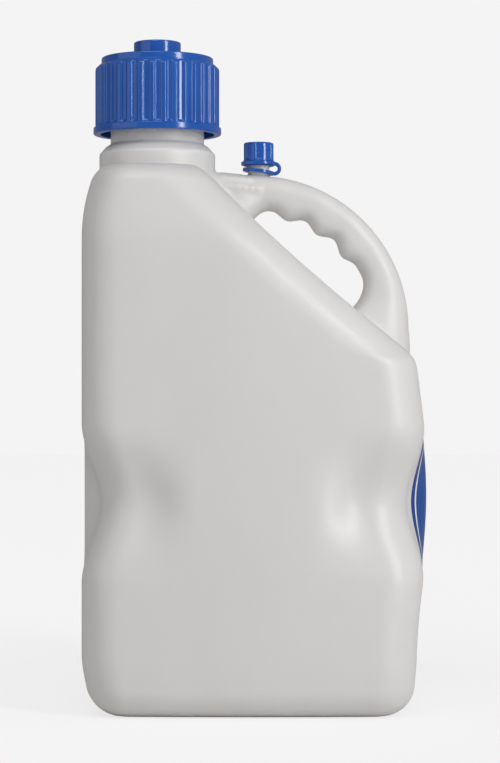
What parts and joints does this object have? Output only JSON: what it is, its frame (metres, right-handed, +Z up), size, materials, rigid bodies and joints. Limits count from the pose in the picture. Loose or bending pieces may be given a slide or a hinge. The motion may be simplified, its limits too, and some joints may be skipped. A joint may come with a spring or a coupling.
{
  "type": "utility jug",
  "caption": "Square-sided plastic utility jug with a grip handle, ribbed screw cap and tethered vent cap.",
  "frame": {"origin": "centre of the bounding box on the plane the base stands on", "axes": "+Z up, +X towards the handle and the label wall, -X towards the neck side"},
  "size_m": [0.2716, 0.236, 0.533],
  "materials": {
    "natural_plastic": "translucent milky blow-moulded polyethylene, satin",
    "blue_plastic": "moulded blue plastic, glossy",
    "red_plastic": "moulded red plastic",
    "seal": "pale grey foam seal",
    "label_film": "thin printed film"
  },
  "bodies": {
    "jug": {"jug_body": "natural_plastic", "side_label": "label_film", "vent_tether": "blue_plastic"},
    "cap_carrier": {"cap_gasket": "seal"},
    "cap": {"main_cap": "blue_plastic", "port_disc": "red_plastic"},
    "vent_carrier": {"vent_seal": "seal"},
    "vent": {"vent_cap": "blue_plastic"}
  },
  "joints": [
    {"name": "main_cap_turn", "type": "hinge", "parent": "cap_carrier", "child": "cap", "pos_m": [-0.07925, 0, 0.457], "axis": [0, 0, 1], "range_deg": [0, 2880]},
    {"name": "main_cap_lift", "type": "slide", "parent": "jug", "child": "cap_carrier", "axis": [0, 0, 1], "range_m": [0, 0.0641]},
    {"name": "vent_cap_turn", "type": "hinge", "parent": "vent_carrier", "child": "vent", "pos_m": [0.00275, 0, 0.4318], "axis": [0, 0, 1], "range_deg": [0, 1800]},
    {"name": "vent_cap_lift", "type": "slide", "parent": "jug", "child": "vent_carrier", "axis": [0, 0, 1], "range_m": [0, 0.0151], "deforming": ["vent_tether"]}
  ],
  "couplings": [
    {"joint": "main_cap_lift", "follows": "main_cap_turn", "m_per_rad": 0.0012732},
    {"joint": "vent_cap_lift", "follows": "vent_cap_turn", "m_per_rad": 0.00047746}
  ]
}
